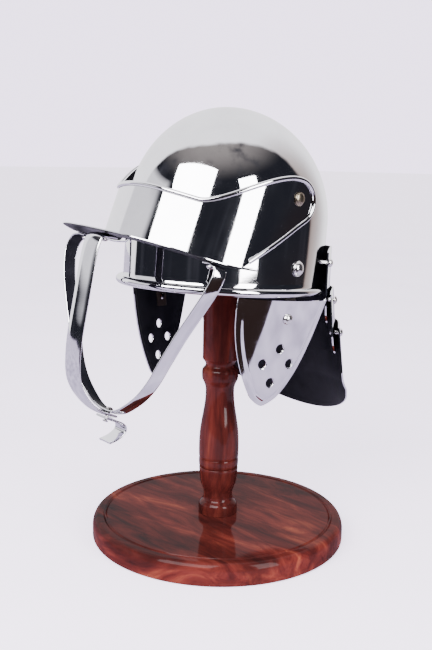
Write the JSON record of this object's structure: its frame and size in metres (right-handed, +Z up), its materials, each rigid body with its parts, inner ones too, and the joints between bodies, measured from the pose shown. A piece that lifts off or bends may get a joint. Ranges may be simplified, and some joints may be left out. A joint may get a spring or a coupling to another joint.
{
  "type": "knight helmet",
  "caption": "Chromed lobster-tailed pot helmet with a pivoting peak and barred face guard, cheek pieces and a laminated neck guard, on a turned rosewood stand",
  "frame": {"origin": "middle of the stand's underside, where it rests on a table", "axes": "+Z up, the helmet looks along -Y, the wearer's left is +X"},
  "size_m": [0.28, 0.3442, 0.4681],
  "materials": {
    "chrome": "polished",
    "chrome_black_back": "polished outside, black paint inside",
    "brass": "polished",
    "rosewood": "gloss lacquer",
    "leather": "satin"
  },
  "bodies": {
    "stand": {"stand_base": "rosewood", "stand_post": "rosewood", "stand_head": "rosewood"},
    "helmet": {"bowl": "chrome", "pivot_rivet_left": "brass", "pivot_rivet_right": "brass", "bowl_rivet_left": "chrome", "bowl_rivet_right": "chrome", "cheek_strap_upper_left": "leather", "cheek_strap_upper_right": "leather", "tail_rivet_left": "chrome", "tail_rivet_right": "chrome"},
    "visor": {"visor_band": "chrome", "visor_border": "chrome", "visor_peak": "chrome", "guard_side_bars": "chrome", "guard_centre_bar": "chrome", "chin_hook": "chrome", "chin_rivet": "chrome", "guard_rivet_left": "chrome", "guard_rivet_right": "chrome", "guard_rivet_centre": "chrome"},
    "cheek_left": {"cheek_plate_left": "chrome_black_back", "cheek_strap_lower_left": "leather", "cheek_rivet_left": "chrome"},
    "cheek_right": {"cheek_plate_right": "chrome_black_back", "cheek_strap_lower_right": "leather", "cheek_rivet_right": "chrome"},
    "tail_upper": {"lame_upper": "chrome_black_back", "lame_rivet_upper_left": "chrome", "lame_rivet_upper_right": "chrome"},
    "tail_middle": {"lame_middle": "chrome_black_back", "lame_rivet_lower_left": "chrome", "lame_rivet_lower_right": "chrome"},
    "tail_lower": {"lame_lower": "chrome_black_back"}
  },
  "joints": [
    {"name": "helmet_lift", "type": "slide", "parent": "stand", "child": "helmet", "axis": [0, 0, 1], "range_m": [0, 0.2]},
    {"name": "visor_pivot", "type": "hinge", "parent": "helmet", "child": "visor", "pos_m": [0, 0.0045, 0.384], "axis": [-0.9978, 0, 0.0663], "range_deg": [0, 75]},
    {"name": "cheek_left_swing", "type": "hinge", "parent": "helmet", "child": "cheek_left", "pos_m": [0.099, -0.00665, 0.27685], "axis": [-0.2304, -0.9695, 0.0837], "range_deg": [-20, 60]},
    {"name": "cheek_right_swing", "type": "hinge", "parent": "helmet", "child": "cheek_right", "pos_m": [-0.099, -0.00665, 0.27685], "axis": [-0.2304, 0.9695, -0.0837], "range_deg": [-20, 60]},
    {"name": "tail_upper_hinge", "type": "hinge", "parent": "helmet", "child": "tail_upper", "pos_m": [0, 0.07553, 0.30801], "axis": [1, 0, 0], "range_deg": [0, 4]},
    {"name": "tail_middle_hinge", "type": "hinge", "parent": "tail_upper", "child": "tail_middle", "pos_m": [0, 0.08582, 0.26712], "axis": [1, 0, 0], "range_deg": [0, 6]},
    {"name": "tail_lower_hinge", "type": "hinge", "parent": "tail_middle", "child": "tail_lower", "pos_m": [0, 0.10224, 0.22878], "axis": [1, 0, 0], "range_deg": [0, 6]}
  ]
}
